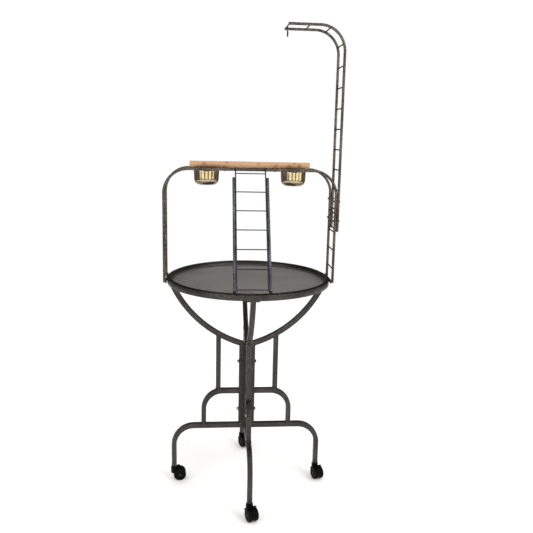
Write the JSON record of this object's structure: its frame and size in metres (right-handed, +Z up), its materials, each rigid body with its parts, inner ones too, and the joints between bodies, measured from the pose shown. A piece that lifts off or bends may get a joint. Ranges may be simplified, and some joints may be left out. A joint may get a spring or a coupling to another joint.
{
  "type": "parrot play stand",
  "caption": "Open bird play stand on swivel casters: four-panel tube base, ring with a drop-in pan, twin-rail arch with wooden perch and steel cups, leaning ladder, bent toy pole with a hook",
  "frame": {"origin": "on the floor, on the axis of the ring and of the centre post", "axes": "+Z up, front is -Y, the toy pole stands at +X"},
  "size_m": [0.6632, 0.6537, 1.789],
  "materials": {
    "frame_paint": "hammered dark brown-grey powder coat",
    "ladder_paint": "hammered dark powder coat, slightly bluer than the frame",
    "pan_paint": "hammered grey powder coat",
    "zinc": "yellow zinc plating",
    "polished_steel": "polished stainless steel",
    "wood": "bare light hardwood with knots",
    "black_plastic": "moulded black plastic",
    "wheel_plastic": "hard black wheel",
    "foot_rubber": "dipped black vinyl"
  },
  "bodies": {
    "stand": {"base_panel_left": "frame_paint", "base_panel_right": "frame_paint", "base_panel_front": "frame_paint", "base_panel_back": "frame_paint", "centre_post": "frame_paint", "post_bolts": "zinc", "post_washers": "zinc", "post_dome_nuts": "zinc", "leg_plugs": "black_plastic", "caster_stems": "zinc", "ring": "frame_paint", "ring_screws": "zinc", "arch_rail_front": "frame_paint", "arch_rail_back": "frame_paint", "arch_rungs": "frame_paint", "foot_plate_left": "frame_paint", "foot_plate_right": "frame_paint", "foot_bolts": "zinc", "foot_nuts": "zinc", "perch_straps": "frame_paint", "cup_ring_left": "frame_paint", "cup_ring_right": "frame_paint", "pole_rail_front": "frame_paint", "pole_rail_back": "frame_paint", "pole_rungs": "frame_paint", "pole_screws": "zinc", "pole_nuts": "zinc", "toy_hook": "frame_paint"},
    "pan": {"pan": "pan_paint"},
    "ladder": {"ladder_rod_left": "ladder_paint", "ladder_rod_right": "ladder_paint", "ladder_hooks": "ladder_paint", "ladder_rungs": "ladder_paint", "ladder_feet": "foot_rubber"},
    "perch": {"perch": "wood", "perch_pegs": "zinc"},
    "cup_left": {"cup_left": "polished_steel"},
    "cup_right": {"cup_right": "polished_steel"},
    "caster_left": {"caster_housing_left": "black_plastic", "caster_axle_left": "zinc"},
    "wheel_left_a": {"caster_wheel_left_a": "wheel_plastic"},
    "wheel_left_b": {"caster_wheel_left_b": "wheel_plastic"},
    "caster_right": {"caster_housing_right": "black_plastic", "caster_axle_right": "zinc"},
    "wheel_right_a": {"caster_wheel_right_a": "wheel_plastic"},
    "wheel_right_b": {"caster_wheel_right_b": "wheel_plastic"},
    "caster_front": {"caster_housing_front": "black_plastic", "caster_axle_front": "zinc"},
    "wheel_front_a": {"caster_wheel_front_a": "wheel_plastic"},
    "wheel_front_b": {"caster_wheel_front_b": "wheel_plastic"},
    "caster_back": {"caster_housing_back": "black_plastic", "caster_axle_back": "zinc"},
    "wheel_back_a": {"caster_wheel_back_a": "wheel_plastic"},
    "wheel_back_b": {"caster_wheel_back_b": "wheel_plastic"}
  },
  "joints": [
    {"name": "pan_lift", "type": "slide", "parent": "stand", "child": "pan", "axis": [0, 0, 1], "range_m": [0, 0.04]},
    {"name": "ladder_swing", "type": "hinge", "parent": "stand", "child": "ladder", "pos_m": [-0.003, -0.06, 1.268], "axis": [-1, 0, 0], "range_deg": [0, 60]},
    {"name": "cup_left_lift", "type": "slide", "parent": "stand", "child": "cup_left", "axis": [0, 0, 1], "range_m": [0, 0.08]},
    {"name": "cup_right_lift", "type": "slide", "parent": "stand", "child": "cup_right", "axis": [0, 0, 1], "range_m": [0, 0.08]},
    {"name": "perch_lift", "type": "slide", "parent": "stand", "child": "perch", "axis": [0, 0, 1], "range_m": [0, 0.08]},
    {"name": "caster_left_swivel", "type": "hinge", "parent": "stand", "child": "caster_left", "pos_m": [-0.291, 0, 0.05], "axis": [0, 0, 1], "continuous": true},
    {"name": "wheel_left_a_roll", "type": "hinge", "parent": "caster_left", "child": "wheel_left_a", "pos_m": [-0.26908, 0.00192, 0.025], "axis": [-0.0872, 0.9962, 0], "continuous": true},
    {"name": "wheel_left_b_roll", "type": "hinge", "parent": "caster_left", "child": "wheel_left_b", "pos_m": [-0.26908, 0.00192, 0.025], "axis": [-0.0872, 0.9962, 0], "continuous": true},
    {"name": "caster_right_swivel", "type": "hinge", "parent": "stand", "child": "caster_right", "pos_m": [0.291, 0, 0.05], "axis": [0, 0, 1], "continuous": true},
    {"name": "wheel_right_a_roll", "type": "hinge", "parent": "caster_right", "child": "wheel_right_a", "pos_m": [0.2978, -0.02092, 0.025], "axis": [0.9511, 0.309, 0], "continuous": true},
    {"name": "wheel_right_b_roll", "type": "hinge", "parent": "caster_right", "child": "wheel_right_b", "pos_m": [0.2978, -0.02092, 0.025], "axis": [0.9511, 0.309, 0], "continuous": true},
    {"name": "caster_front_swivel", "type": "hinge", "parent": "stand", "child": "caster_front", "pos_m": [0, -0.291, 0.05], "axis": [0, 0, 1], "continuous": true},
    {"name": "wheel_front_a_roll", "type": "hinge", "parent": "caster_front", "child": "wheel_front_a", "pos_m": [0.00752, -0.31167, 0.025], "axis": [0.9397, 0.342, 0], "continuous": true},
    {"name": "wheel_front_b_roll", "type": "hinge", "parent": "caster_front", "child": "wheel_front_b", "pos_m": [0.00752, -0.31167, 0.025], "axis": [0.9397, 0.342, 0], "continuous": true},
    {"name": "caster_back_swivel", "type": "hinge", "parent": "stand", "child": "caster_back", "pos_m": [0, 0.291, 0.05], "axis": [0, 0, 1], "continuous": true},
    {"name": "wheel_back_a_roll", "type": "hinge", "parent": "caster_back", "child": "wheel_back_a", "pos_m": [0.01166, 0.27234, 0.025], "axis": [0.848, 0.5299, 0], "continuous": true},
    {"name": "wheel_back_b_roll", "type": "hinge", "parent": "caster_back", "child": "wheel_back_b", "pos_m": [0.01166, 0.27234, 0.025], "axis": [0.848, 0.5299, 0], "continuous": true}
  ],
  "couplings": [
    {"joint": "ladder_swing", "follows": "pan_lift", "rad_per_m": 26},
    {"joint": "perch_lift", "follows": "cup_left_lift", "ratio": 1},
    {"joint": "cup_right_lift", "follows": "cup_left_lift", "ratio": 1}
  ]
}
